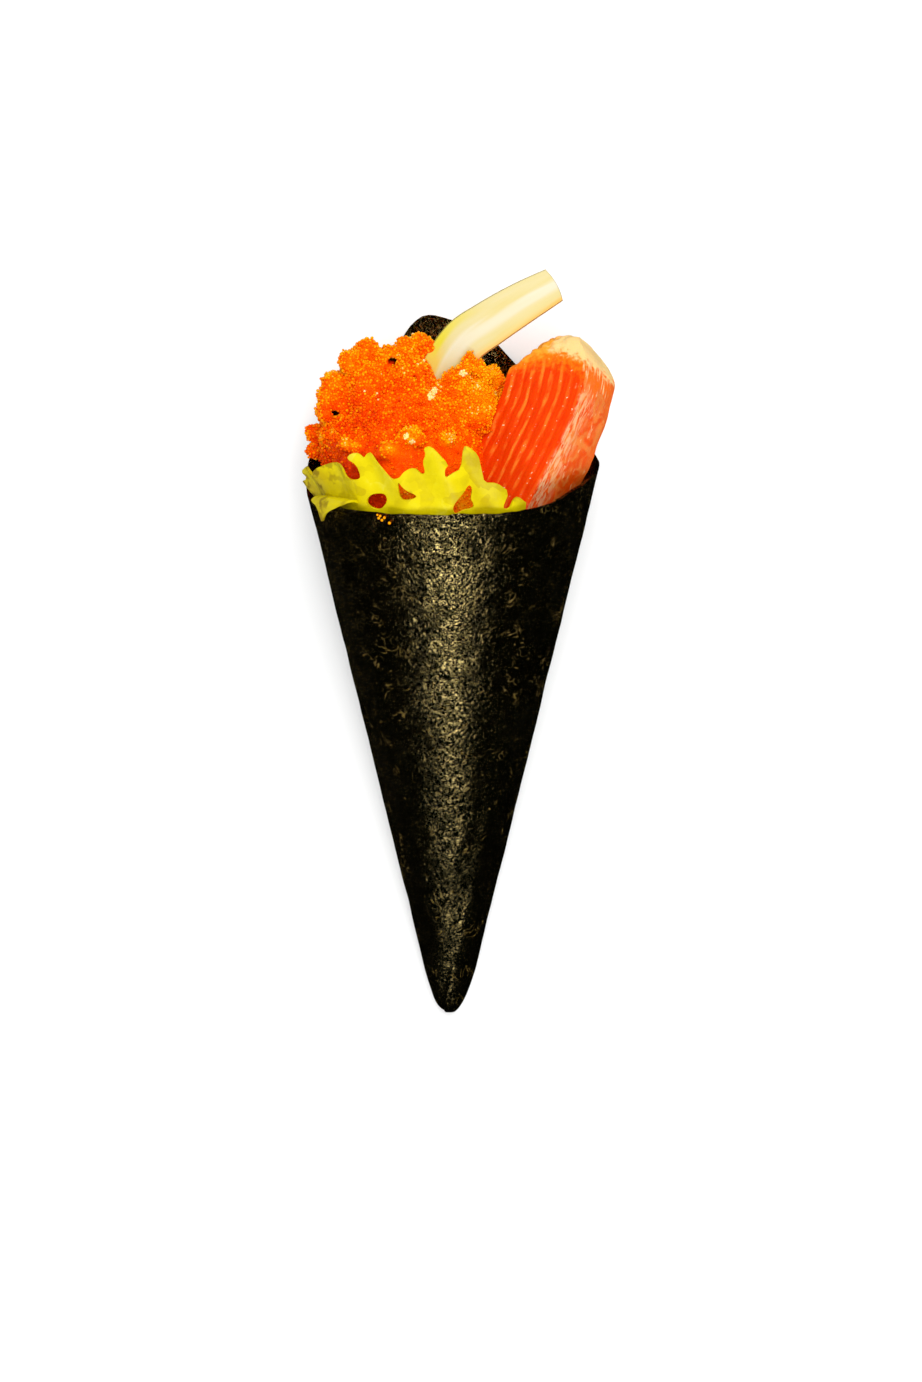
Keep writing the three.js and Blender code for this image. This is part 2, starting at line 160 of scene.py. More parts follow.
def gridded_box(cells_along):
    """A closed unit box whose faces are a grid, with this many cells along X, Y and Z."""
    bm = bmesh.new()
    bmesh.ops.create_cube(bm, size=1)
    for axis, cells in enumerate(cells_along):
        edges = [e for e in bm.edges if abs((e.verts[0].co - e.verts[1].co)[axis]) > 0.5]
        if cells > 1:
            bmesh.ops.subdivide_edges(bm, edges=edges, cuts=cells - 1)
    return bm


def mesh_of(bm, name):
    mesh = bpy.data.meshes.new(name)
    bm.to_mesh(mesh)
    bm.free()
    return mesh


def in_scene(name, data):
    thing = bpy.data.objects.new(name, data)
    bpy.context.scene.collection.objects.link(thing)
    return thing


def dressed(mesh, name, node, slot, material, sharp=35):
    """Makes a piece of a mesh in metres, in the place of a CAD node."""
    mesh.shade_smooth()
    mesh.set_sharp_from_angle(angle=math.radians(sharp))
    mesh.materials.append(material)
    piece = in_scene(name, mesh)
    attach(piece, "root")
    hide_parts(node)
    return piece


def finished(bm, name, *dress):
    """Makes a piece of a mesh worked out in millimetres."""
    bmesh.ops.remove_doubles(bm, verts=bm.verts, dist=1e-4)
    bmesh.ops.recalc_face_normals(bm, faces=bm.faces)
    bmesh.ops.scale(bm, vec=(MM, MM, MM), verts=bm.verts)
    return dressed(mesh_of(bm, name), name, *dress)


# ---- Making materials


def feed(socket, value):
    """Gives a socket a plain value or another node's output."""
    if isinstance(value, bpy.types.NodeSocket):
        socket.id_data.links.new(value, socket)
    else:
        socket.default_value = value


def add(tree, kind, inputs=None, **settings):
    """Adds a node. Each input is a plain value or another node's output."""
    node = tree.nodes.new("ShaderNode" + kind)
    for name, value in settings.items():
        setattr(node, name, value)
    for name, value in (inputs or {}).items():
        feed(node.inputs[name], value)
    return node


# The nodes below join the tree of the output that they are given.


def maths(operation, *values, kind="Math"):
    tree = next(value.id_data for value in values if isinstance(value, bpy.types.NodeSocket))
    node = add(tree, kind, operation=operation)
    for socket, value in zip(node.inputs, values):
        feed(socket, value)
    return node.outputs[0]


def times(first, second):
    return maths("MULTIPLY", first, second)


def vector_maths(operation, *values):
    return maths(operation, *values, kind="VectorMath")


def mixed(share, first, second):
    """A colour between two."""
    node = add(share.id_data, "Mix", {"Factor": share}, data_type="RGBA")
    for socket, value in zip([s for s in node.inputs if s.type == "RGBA"], (first, second)):
        feed(socket, value)
    return next(s for s in node.outputs if s.type == "RGBA")


def split(vector):
    """A vector's X, Y and Z."""
    outputs = add(vector.id_data, "SeparateXYZ", {"Vector": vector}).outputs
    return outputs["X"], outputs["Y"], outputs["Z"]


def object_place(tree):
    return add(tree, "TexCoord").outputs["Object"]


def attribute(tree, name, output="Fac"):
    return add(tree, "Attribute", attribute_name=name).outputs[output]


def noise_at(place, scale, detail, twist=0.0):
    inputs = {"Vector": place, "Scale": scale, "Detail": detail, "Distortion": twist}
    return add(place.id_data, "TexNoise", inputs).outputs


LIGHT_LEVEL = 1.3  # how much brighter than its base colour the studio light shows a surface


def rgb(red, green, blue):
    """The base colour that shows on a screen, under the studio light, as parts from 0 to 255.

    A part over 255 makes up for light that is lost between bumps.
    """
    parts = [c / 255 for c in (red, green, blue)]
    linear = [c / 12.92 if c <= 0.04045 else ((c + 0.055) / 1.055) ** 2.4 for c in parts]
    return [c / LIGHT_LEVEL for c in linear] + [1]


def ramp(value, *stops):
    """A colour along a row of (place, colour) stops."""
    node = add(value.id_data, "ValToRGB", {"Fac": value})
    elements = node.color_ramp.elements
    for place, _ in stops[1:-1]:
        elements.new(place)
    for element, (place, colour) in zip(elements, stops):
        element.position = place
        element.color = colour
    return node.outputs["Color"]


def new_group(name, inputs, outputs):
    """A node group and its input and output nodes. Sockets are given as {name: kind}."""
    tree = bpy.data.node_groups.new(name, "ShaderNodeTree")
    for direction, sockets in (("INPUT", inputs), ("OUTPUT", outputs)):
        for socket, kind in sockets.items():
            tree.interface.new_socket(socket, in_out=direction, socket_type="NodeSocket" + kind)
    return tree, tree.nodes.new("NodeGroupInput").outputs, tree.nodes.new("NodeGroupOutput").inputs


def grain_group():
    """Smooth noise of one size, as a mask from 0 to 1."""
    tree, given, out = new_group(
        "grain",
        {"Size in mm": "Float", "Detail": "Float", "Twist": "Float", "Seed": "Float"},
        {"Mask": "Float"},
    )
    moved = vector_maths("ADD", object_place(tree), given["Seed"])
    scale = maths("DIVIDE", 1 / MM, given["Size in mm"])
    feed(out["Mask"], noise_at(moved, scale, given["Detail"], given["Twist"])["Fac"])
    return tree


def relief_group():
    """Turns a height mask into a surface normal."""
    tree, given, out = new_group(
        "relief", {"Height": "Float", "Depth in mm": "Float", "Normal": "Vector"}, {"Normal": "Vector"}
    )
    depth = times(given["Depth in mm"], MM)
    bump = add(tree, "Bump", {"Height": given["Height"], "Distance": depth, "Normal": given["Normal"]})
    feed(out["Normal"], bump.outputs["Normal"])
    return tree


GRAIN = grain_group()
RELIEF = relief_group()


def grain(tree, size, detail=2.0, twist=0.0, seed=0.0):
    inputs = {"Size in mm": size, "Detail": detail, "Twist": twist, "Seed": seed}
    return add(tree, "Group", inputs, node_tree=GRAIN).outputs["Mask"]


def relief(height, depth, under=None):
    """A surface normal with relief, over another normal where one is given."""
    tree = height.id_data
    if under is None:
        under = add(tree, "NewGeometry").outputs["Normal"]
    inputs = {"Height": height, "Depth in mm": depth, "Normal": under}
    return add(tree, "Group", inputs, node_tree=RELIEF).outputs["Normal"]


def ranged(value, low, high, start=0.0, end=1.0):
    """Brings a value between low and high to between start and end."""
    inputs = {"Value": value, "From Min": low, "From Max": high, "To Min": start, "To Max": end}
    return add(value.id_data, "MapRange", inputs, interpolation_type="SMOOTHSTEP").outputs["Result"]


def off_middle(mask):
    """How far a mask is from its middle value. It is near 0 along winding lines."""
    return maths("ABSOLUTE", maths("SUBTRACT", mask, 0.5))


def new_material(name):
    material = bpy.data.materials.new(name)
    material.use_nodes = True
    return material, material.node_tree


def coated(material, **sockets):
    """Gives a material's surface plain values or other nodes' outputs."""
    surface = material.node_tree.nodes["Principled BSDF"].inputs
    for socket, value in sockets.items():
        feed(surface[socket.replace("_", " ")], value)
    return material


def nori_material():
    material, tree = new_material("nori")
    # Crinkled plates with a wormy pattern of shallow cracks between them, glossy here and dull there.
    worms = grain(tree, 0.78, detail=2.5, twist=1.2)
    plates = ranged(off_middle(worms), 0.012, 0.075)
    blisters = grain(tree, 3.2, detail=2, twist=0.4, seed=4)
    glossy = ranged(grain(tree, 4.5, detail=4, twist=0.5, seed=7), 0.36, 0.56, 0.35, 1)
    # The gloss fades towards the tip.
    along = split(object_place(tree))[1]
    glossy = times(glossy, ranged(along, -60 * MM, 40 * MM, 0.6, 1.4))
    # Thin golden patches, and fine curls here and there: painted glints.
    patches = ranged(grain(tree, 3.2, detail=6, twist=1.4, seed=9), 0.68, 0.75)
    curls = off_middle(grain(tree, 3, detail=3, twist=1.5, seed=12))
    here = ranged(grain(tree, 4, detail=3, seed=15), 0.55, 0.65)
    curls = times(ranged(curls, 0.004, 0.016, 1, 0), here)
    golden_glints = maths("MAXIMUM", times(patches, plates), curls)
    crinkles = maths("MULTIPLY_ADD", worms, 0.9, plates)
    return coated(
        material,
        Base_Color=mixed(golden_glints, rgb(4, 4, 1), rgb(114, 94, 46)),
        Roughness=ranged(blisters, 0.3, 0.7, 0.17, 0.27),
        IOR=1.9,
        Specular_IOR_Level=times(plates, glossy),
        Specular_Tint=(1.0, 0.78, 0.32, 1),
        Normal=relief(crinkles, 0.22, relief(blisters, 0.4)),
    )


MOTTLING = 0.24  # how far the roe's tone varies over its surface


def roe_material():
    material, tree = new_material("roe")
    tone = attribute(tree, "tone")
    mottles = ranged(grain(tree, 2.6, detail=4, seed=2), 0.3, 0.7)
    mottled = maths("MULTIPLY_ADD", mottles, MOTTLING, tone)
    colour = ramp(
        maths("SUBTRACT", mottled, MOTTLING / 2),
        (0.0, rgb(220, 44, 0)),
        (0.2, rgb(258, 68, 0)),
        (0.45, rgb(275, 100, 0)),
        (0.65, rgb(280, 132, 0)),
        (0.85, rgb(280, 180, 6)),
        (0.94, rgb(280, 192, 20)),
        (1.0, rgb(280, 240, 160)),
    )
    # Below a tone of zero, in the gaps, the roe is painted nearly black: painted shade in the pits.
    gap = ranged(tone, -0.6, -0.2, 1, 0)
    eggs = add(tree, "TexVoronoi", {"Vector": object_place(tree), "Scale": 1 / (0.62 * MM)})
    domes = maths("SUBTRACT", 1.0, eggs.outputs["Distance"])
    return coated(
        material,
        Base_Color=mixed(gap, colour, rgb(40, 26, 4)),
        Roughness=0.25,
        Specular_IOR_Level=0.3,
        Specular_Tint=(1.0, 0.6, 0.1, 1),
        Subsurface_Weight=0.5,
        Subsurface_Radius=(1.0, 0.35, 0.02),
        Subsurface_Scale=0.2 * MM,
        Normal=relief(domes, 0.12),
    )


def salmon_material():
    material, tree = new_material("salmon")
    place = attribute(tree, "place", "Vector")
    across, back, through = split(place)

    def local_noise(stretch, scale, detail=2.0, seed=0.0, twist=0.0):
        scaled = vector_maths("MULTIPLY", place, stretch)
        moved = vector_maths("ADD", scaled, (seed, seed, seed))
        return noise_at(moved, scale, detail, twist)["Fac"]

    # The red face, with paler lines of fat between its flakes.
    wobble = maths("MULTIPLY_ADD", local_noise((5, 1.2, 1), 1.5, seed=3), 0.06, across)
    wave = maths("COSINE", times(wobble, 2 * math.pi * FLAKES))
    broken = ranged(local_noise((7, 1.4, 1), 1.6, 4, seed=8), 0.38, 0.62, 0.05, 1)
    broken = times(broken, ranged(across, 0.1, 0.42, 1, 0.3))
    lines = times(ranged(wave, 0.1, 1.0), broken)
    flesh = mixed(local_noise((14, 1.5, 1), 2, seed=5), rgb(236, 42, 0), rgb(244, 76, 0))
    face = mixed(lines, flesh, rgb(254, 126, 36))
    # Small pale specks on the lines of fat: painted glints.
    glint_specks = ranged(local_noise((11, 6, 1), 3, 1, seed=1), 0.7, 0.76)
    glint_specks = times(glint_specks, ranged(wave, 0.5, 0.9))
    face = mixed(glint_specks, face, rgb(255, 222, 180))

    # The end, creamy to the right and orange to the left.
    ragged = maths("MULTIPLY_ADD", local_noise((8, 4, 4), 2, 5, seed=6), 0.8, back)
    ragged = maths("ADD", ragged, ranged(across, 0.1, 0.5, 0, -0.22))
    face = mixed(ranged(ragged, 1.0, 1.5, 0.9, 0), face, rgb(253, 136, 18))
    end = ranged(ragged, 0.88, 1.12, 1, 0)
    creamy = maths("MULTIPLY_ADD", local_noise((5, 4, 4), 1.6, 5, seed=2), 0.7, across)
    cap = mixed(ranged(creamy, 0.34, 0.54), rgb(254, 164, 46), rgb(255, 215, 142))

    # The right side, pale and marbled.
    clouds = ranged(local_noise((2.2, 2.2, 3.4), 1.4, 5, seed=7, twist=0.6), 0.42, 0.6)
    side = mixed(clouds, rgb(244, 82, 4), rgb(245, 130, 52))
    veins = ranged(local_noise((4, 1.4, 7), 1.8, 4, seed=9, twist=1), 0.58, 0.7)
    side = mixed(veins, side, rgb(250, 186, 126))
    beside = maths("SUBTRACT", across, through)
    near_face = ranged(beside, 0.1, 0.5, 1, 0)
    pale = times(ranged(back, 1.2, 1.8), near_face)
    wisps = ranged(local_noise((5, 1.6, 9), 2.0, 5, seed=11, twist=1), 0.42, 0.6)
    side = mixed(times(pale, wisps), side, rgb(250, 186, 134))
    upper = ranged(maths("MULTIPLY_ADD", clouds, 0.5, back), 1.3, 1.8, 1, 0)
    strands = ranged(local_noise((4, 1, 9), 2, 4, seed=4), 0.5, 0.64)
    orange = mixed(strands, rgb(255, 112, 12), rgb(255, 200, 140))
    side = mixed(upper, side, orange)
    far = ranged(maths("MULTIPLY_ADD", clouds, 0.12, through), -0.4, -0.25, 1, 0)
    side = mixed(far, side, rgb(240, 104, 26))

    # The face runs into the side without a clean edge near the end.
    uneven = maths("SUBTRACT", local_noise((9, 3, 9), 2, 5, seed=13), 0.5)
    blur = times(ranged(back, 0.9, 2.2, 0.5, 0.05), uneven)
    turned = ranged(maths("ADD", beside, blur), -0.03, 0.04)
    return coated(
        material,
        Base_Color=mixed(end, mixed(turned, face, side), cap),
        Roughness=0.3,
        Specular_IOR_Level=0.2,
        Specular_Tint=(1.0, 0.8, 0.5, 1),
        Subsurface_Weight=0.15,
        Subsurface_Radius=(1.0, 0.3, 0.1),
        Subsurface_Scale=0.6 * MM,
        Normal=relief(grain(tree, 0.7, detail=3, seed=3), 0.12),
    )


def avocado_material():
    material, tree = new_material("avocado")
    place = attribute(tree, "place", "Vector")
    across, along, _ = split(place)
    streaks = noise_at(vector_maths("MULTIPLY", place, (1, 0.12, 1)), 4.0, 2.0, 0.2)["Fac"]
    # Palest along a line near its middle, a painted highlight, and yellower at its foot.
    beside = maths("MULTIPLY_ADD", streaks, 0.3, maths("SUBTRACT", across, 0.17))
    line = ranged(maths("ABSOLUTE", beside), 0.06, 0.22, 0.45, 0.05)
    shade = maths("MULTIPLY_ADD", streaks, 0.5, line)
    flesh = ramp(
        maths("ADD", shade, ranged(along, 1.4, 2.6, -0.55, 0)),
        (0.0, rgb(228, 196, 84)),
        (0.25, rgb(222, 206, 141)),
        (0.5, rgb(225, 212, 167)),
        (0.8, rgb(229, 221, 193)),
    )
    # An orange band along its lower edge: painted shade.
    rim = ranged(maths("MULTIPLY_ADD", streaks, 0.3, across), 0.46, 0.62)
    flesh = mixed(rim, flesh, rgb(244, 190, 100))
    # A green edge on the left, fading at its foot and towards its end.
    green = ranged(maths("MULTIPLY_ADD", along, 0.05, across), -0.16, -0.28, 0, 1)
    for fade in (ranged(along, 2.1, 3.4, 1, 0), ranged(along, 1.8, 2.3)):
        green = times(green, fade)
    return coated(
        material,
        Base_Color=mixed(green, flesh, rgb(222, 206, 40)),
        Roughness=0.4,
        Specular_IOR_Level=0.25,
        Normal=relief(streaks, 0.25),
    )


def lettuce_material():
    material, tree = new_material("lettuce")
    place = object_place(tree)
    # Cells with crooked sides, each of its own tone.
    warp = noise_at(place, 1 / (2.5 * MM), 2.0)["Color"]
    shifted = vector_maths("MULTIPLY_ADD", warp, (1.6 * MM,) * 3, place)
    cells = add(tree, "TexVoronoi", {"Vector": shifted, "Scale": 1 / (2.6 * MM)}).outputs["Color"]
    tone = ranged(grain(tree, 5, detail=3, seed=2), 0.3, 0.7, 0, 0.44)
    tone = maths("MULTIPLY_ADD", split(cells)[0], 0.4, tone)
    # Darker towards both ends; at the left end the darkening is painted shade.
    x = split(place)[0]
    left = ranged(x, -26 * MM, -19 * MM, -0.32, 0)
    right = ranged(x, 0, 6 * MM, 0.04, -0.32)
    colour = ramp(
        maths("ADD", tone, maths("ADD", left, right)),
        (0.0, rgb(196, 172, 0)),
        (0.25, rgb(212, 192, 0)),
        (0.5, rgb(224, 204, 0)),
        (0.7, rgb(228, 210, 6)),
        (0.9, rgb(236, 221, 56)),
    )
    # Dark patches on the far left: painted shadow, round the hanging lobe.
    lobe_shadow = ranged(grain(tree, 2.4, detail=4, seed=21), 0.5, 0.62)
    lobe_shadow = times(lobe_shadow, ranged(x, -27 * MM, -17 * MM, 0.75, 0))
    return coated(
        material,
        Base_Color=mixed(lobe_shadow, colour, rgb(128, 100, 12)),
        Roughness=0.4,
        Specular_IOR_Level=0.12,
        Normal=relief(grain(tree, 1.2, detail=3, seed=6), 0.1),
    )


# ---- Seaweed cone

SHEET_CELLS = (200, 160, 1)  # round, along and through the sheet
SHEET_SPREAD = 1.3  # crowds its cells towards the tip
RUMPLES = [(0.25, 13, 0), (0.1, 5, 2), (0.04, 2.1, 4)]  # heights, sizes and seeds of their layers
RUMPLES_START = 6  # length over which they begin at the tip
RIM_WAVES = [(0.3, 8, 0), (0.15, 30, 7)]  # the rim's unevenness: heights, counts a radian and seeds


def nori_sheet():
    bm = gridded_box(SHEET_CELLS)
    for v in bm.verts:
        wound = lerp(-LAP, 2 * math.pi, v.co.x + 0.5)
        inset = 0 if v.co.z > 0 else SHEET
        rim = rim_slant(SEAM_TURN + wound)
        for height, count, seed in RIM_WAVES:
            rim += height * roughness_at(Vector((count * wound, seed, 0)), 1)
        slant = lerp(TIP_SLANT + inset, rim, (v.co.y + 0.5) ** SHEET_SPREAD)
        lift = PLY * smoothstep(wound, 2 * math.pi - LAP - LAP_RAMP, 2 * math.pi - LAP)
        turn = seam_turn(slant) + wound
        rise = layered(wall_point(slant, turn, 0), RUMPLES)
        rise *= smoothstep(slant, TIP_SLANT, TIP_SLANT + RUMPLES_START)
        v.co = wall_point(slant, turn, inset - lift - rise)
    return finished(bm, "nori_sheet", "nori_cone", "nori", nori_material())


# ---- Room for the fillings

MOUTH_SLANT = 128.5  # past this a filling may spread out over the wall's line
MOUTH_SPREAD = 0.5  # by this much for each millimetre
FILLING_INSET = 1.1


def height_and_outward(point):
    """A point's height along the cone's axis, and how far it stands out from the axis."""
    height = (point - APEX).dot(AXIS)
    return height, point - APEX - AXIS * height


def turn_of(outward):
    return math.atan2(outward.x, outward.dot(TOP))


def held_inside(point, inset, spread=0.0):
    """Moves a point in towards the axis where it would stand in the wall or past it."""
    height, outward = height_and_outward(point)
    past_mouth = max(0, height / math.cos(HALF_ANGLE) - MOUTH_SLANT)
    room = height * math.tan(HALF_ANGLE) - inset + spread * past_mouth
    return point + outward * min(0, room / max(outward.length, 1e-6) - 1)


# ---- Salmon

# Rows from the shown end down into the cone: the distance from the end, then a point on the shown face's
# left edge, one on its right edge and one on the far edge of the slice's right side.
SALMON_EDGES = [
    (0, (12.8, 61, 38.5), (24.8, 66.6, 48.5), (31.8, 60.2, 38)),
    (8, (11.4, 58, 38), (27.4, 60.4, 48), (33.4, 55.2, 37)),
    (16, (9.8, 53.4, 37.5), (26.4, 53.2, 47.5), (32.6, 50.2, 36)),
    (26, (6.8, 46.8, 37), (22.6, 44.4, 47), (29.8, 42, 35.5)),
    (38, (2.6, 37.6, 36), (17.6, 34.4, 46), (25.2, 32.4, 34.5)),
    (52, (-2.6, 26.4, 35), (11.8, 22.4, 44), (19.2, 20, 33)),
    (66, (-7.8, 15.2, 34), (6, 10.4, 42), (13.2, 7.6, 31.5)),
]
SALMON_SPREAD = 1.4  # crowds its cells towards the shown end
SALMON_ROUNDING = 0.16
SALMON_END = 8  # length over which the end rounds off
SALMON_END_LOSS = 0.72  # the share of its thickness lost there
SALMON_DOME = 3.5  # how far the end bulges in its middle
SALMON_DOME_FADE = 20  # how far back the bulge reaches
SALMON_UNEVEN = [(0.35, 6, 3), (0.12, 2.2, 5)]  # layers of roughness all over it
SALMON_RAGGED = [(1.1, 1.9, 9)]  # and on the left of its end
FLAKES = 8
FLAKE_DEPTH = 0.1
FLAKE_WAVER = 0.012  # the share of the slice's width by which the lines between them waver
FLAKE_START = (6, 10)  # distances from the end over which the flakes begin
SALMON_CELLS = (12 * FLAKES, 128, 36)  # across, along and through the slice


def rounded_section(x, z, rounding):
    """Rounds the corners of a unit square section: 0 leaves it square and 1 makes it round."""
    return x * math.sqrt(1 - 2 * rounding * z * z), z * math.sqrt(1 - 2 * rounding * x * x)


def salmon_edge(number, back):
    places = [row[0] for row in SALMON_EDGES]
    points = [row[number] for row in SALMON_EDGES]
    return Vector(row_through(places, points, back))


def salmon_slice():
    ends = [salmon_edge(1, back) + salmon_edge(3, back) for back in (0, SALMON_END)]
    forward = (ends[0] - ends[1]).normalized()
    bm = gridded_box(SALMON_CELLS)
    place_layer = bm.verts.layers.float_vector.new("place")
    cuts = {}
    for v in bm.verts:
        x, y, z = v.co
        if y not in cuts:
            back = SALMON_EDGES[-1][0] * (0.5 - y) ** SALMON_SPREAD
            cuts[y] = [back, *(salmon_edge(k, back) for k in (1, 2, 3))]
        back, left, right, far = cuts[y]
        end = math.sqrt(1 - SALMON_END_LOSS * max(0, 1 - back / SALMON_END) ** 2)
        rx, rz = rounded_section(x, z, SALMON_ROUNDING)
        place = (left + far) / 2 + (right - left) * rx * lerp(1, end, 0.1) + (right - far) * rz * end
        dome = SALMON_DOME * (1 - 4 * x * x) * (1 - 2 * z * z) * max(0, 1 - back / SALMON_DOME_FADE)
        place += forward * dome
        skewed = x + FLAKE_WAVER * roughness_at(Vector((FLAKES * x, back / 7, 0)), 1)
        valley = max(0, math.cos(2 * math.pi * FLAKES * skewed)) ** 2
        shown = smoothstep(z, 0.46, 0.5) * smoothstep(0.5 - abs(x), 0.02, 0.05)
        face = (right - left).cross(forward).normalized()
        place -= face * FLAKE_DEPTH * valley * shown * smoothstep(back, *FLAKE_START)
        at_end = smoothstep(back, SALMON_END, 2) * smoothstep(x, 0.5, 0)
        uneven = layered(place, SALMON_UNEVEN) + layered(place, SALMON_RAGGED) * at_end
        place += (place - (left + far) / 2).normalized() * uneven
        v[place_layer] = (x, back / 10, z)
        v.co = held_inside(place, FILLING_INSET, MOUTH_SPREAD)
    return finished(bm, "salmon_slice", "salmon_slab", "salmon", salmon_material(), 60)


# ---- Avocado

# Points along its middle, from its foot in the heap to its shown end.
AVOCADO_LINE = [
    (-5.5, 42, 30), (-2.2, 55.6, 32), (3.1, 64.1, 33.4), (7.7, 67.4, 33.8), (14.4, 71.6, 34.2),
    (21, 75.3, 34.4),
]
AVOCADO_WIDTH = 9.5
AVOCADO_END_WIDTH = 7.2
AVOCADO_DEPTH = 6.4
AVOCADO_ROUNDING = 0.2
AVOCADO_CUT_BULGE = 0.5  # how far its cut end stands out in the middle
AVOCADO_CELLS = (32, 90, 24)


def avocado_slice():
    places = [0.0]
    for a, b in zip(AVOCADO_LINE, AVOCADO_LINE[1:]):
        places.append(places[-1] + (Vector(b) - Vector(a)).length)

    def line(share):
        return Vector(row_through(places, AVOCADO_LINE, share * places[-1]))

    bm = gridded_box(AVOCADO_CELLS)
    place_layer = bm.verts.layers.float_vector.new("place")
    for v in bm.verts:
        x, y, z = v.co
        share = y + 0.5
        v[place_layer] = (x, share * places[-1] / AVOCADO_WIDTH, z)
        tangent = (line(min(1, share + 0.01)) - line(max(0, share - 0.01))).normalized()
        across = tangent.cross(UP).normalized()
        face = across.cross(tangent)
        width = lerp(AVOCADO_WIDTH, AVOCADO_END_WIDTH, max(0, 2 * share - 1) ** 2)
        bulge = AVOCADO_CUT_BULGE * (1 - 4 * x * x) if share > 0.999 else 0
        rx, rz = rounded_section(x, z, AVOCADO_ROUNDING)
        v.co = line(share) + tangent * bulge + across * rx * width + face * rz * AVOCADO_DEPTH
    return finished(bm, "avocado_slice", "avocado_strip", "avocado", avocado_material())


# ---- Lettuce

LEAF = 0.5  # thickness
LEAF_INSET = 1.85  # its middle, inside the wall's outer face
LEAF_SPAN = (-89, 34.5)  # turns in degrees
LEAF_ROOT = -7  # its hidden lower edge, measured from the rim
LEAF_CLEARANCE = 2  # how far the roe keeps behind it
LEAF_LEAN_LEFT = math.radians(18)  # how far the frill leans out at its left end
LEAF_LEAN = math.radians(-10)  # and in over the fillings elsewhere
LEAN_TURNS = (math.radians(35), math.radians(88))  # turns to the left between which its lean changes
LEAN_START = (0.3, 2.5)  # distances past the rim over which it begins to lean
RUFFLE = 0.35  # height of its waves
RUFFLES = 17  # waves a radian of turn
FRILL_RUFFLE = 0.35  # added to the waves over FRILL_RISE past the rim
FRILL_RISE = 8
LEAF_CELL = (1.3, 0.55)  # degrees of turn and millimetres
LOBE_CELLS = (30, 60, 1)
LOBE_STEP = 0.3  # part of a row over which the hanging lobe's direction is measured

# The frill's edge and its gaps, as turns in degrees and distances past the rim.
FRILL = [
    (-89, 1), (-85, 2.2), (-83, 3.2), (-86, 4.3), (-77, 5.6), (-80, 7.2), (-74, 8.4), (-69.5, 8.1),
    (-67, 6.4), (-63.5, 8.3), (-57.5, 8.9), (-52.5, 9), (-49.5, 8.4), (-48, 6.5), (-45, 6), (-40.5, 6.2),
    (-39, 6.8), (-41, 9.2), (-45, 10.5), (-43.5, 11.5), (-41, 11.5), (-38.5, 10.4), (-37, 11.5),
    (-35.5, 11.7), (-32.5, 10), (-27.5, 8.2), (-24, 6.8), (-20.5, 7.3), (-19, 8.4), (-16.5, 9.1),
    (-14, 8.9), (-11.5, 7.7), (-10, 8.3), (-11, 10.5), (-9.5, 12.2), (-10.3, 13.5), (-8, 14), (-6, 13.5),
    (0, 10.1), (-1.7, 9.2), (-1.5, 7.4), (1, 8.2), (5, 8.9), (6, 13.4), (8, 13.6), (12, 12), (13.5, 8.9),
    (15, 6), (20, 6.1), (25.5, 4), (22.5, 0.6), (25.7, 0.4), (27.7, 2.2), (30.5, 2.6), (34.5, 1),
]
FRILL_GAPS = [
    [(-34.5, 3.4), (-28, 3.6), (-27, 1.9), (-30.5, 0.1), (-34.8, 0.7), (-37, 1.9)],
    [(-21.4, 6.8), (-18.6, 4.9), (-13, 3.5), (-15.5, 2.8), (-20.8, 2.7)],
    [
        (8.5, 5.8), (10, 4.7), (9, 2.8), (10.5, 1.7), (10, 0.9), (5.5, 0.7), (2.5, -0.4), (1.3, 1.4),
        (5.5, 3.9),
    ],
]
# Rows of the lobe over the rim: its middle's turn in degrees, inset and distance past the rim, and how
# many degrees it reaches to the left and to the right.
HANGING_LOBE = [
    (-52, 1.85, -4, 11, 11), (-52, 1.85, 0.6, 11, 11), (-52, 0.8, 1.8, 11, 11), (-52, -0.8, 1.9, 11.3, 10),
    (-53.5, -1.8, 1.2, 10, 9.5), (-55, -2.1, 0.4, 4.5, 8), (-56, -2.2, -0.8, 2, 4),
    (-56.7, -2.2, -2, 0.9, 1.6), (-56.9, -2.2, -2.9, 0.25, 0.3),
]
CORNER_CUT = 0.22  # the share of an outline's side that is cut off at each corner


def leaf_point(turn, past, outside):
    """A point at a distance outside the leaf's middle, which leans from the wall's line past the rim."""
    side = smoothstep(-turn, *LEAN_TURNS)
    lean = lerp(LEAF_LEAN, LEAF_LEAN_LEFT, side) * smoothstep(past, *LEAN_START)
    foot = wall_point(rim_slant(turn) + min(past, 0), turn, LEAF_INSET)
    up = swung(AXIS, outward_at(turn), HALF_ANGLE + lean)
    away = swung(outward_at(turn), AXIS, -HALF_ANGLE - lean)
    return foot + up * max(past, 0) + away * outside


def rounded_loop(points, rounds=2):
    """Cuts the corners of a closed outline."""
    for _ in range(rounds):
        cut = []
        for a, b in zip(points, points[1:] + points[:1]):
            for share in (CORNER_CUT, 1 - CORNER_CUT):
                cut.append((lerp(a[0], b[0], share), lerp(a[1], b[1], share)))
        points = cut
    return points


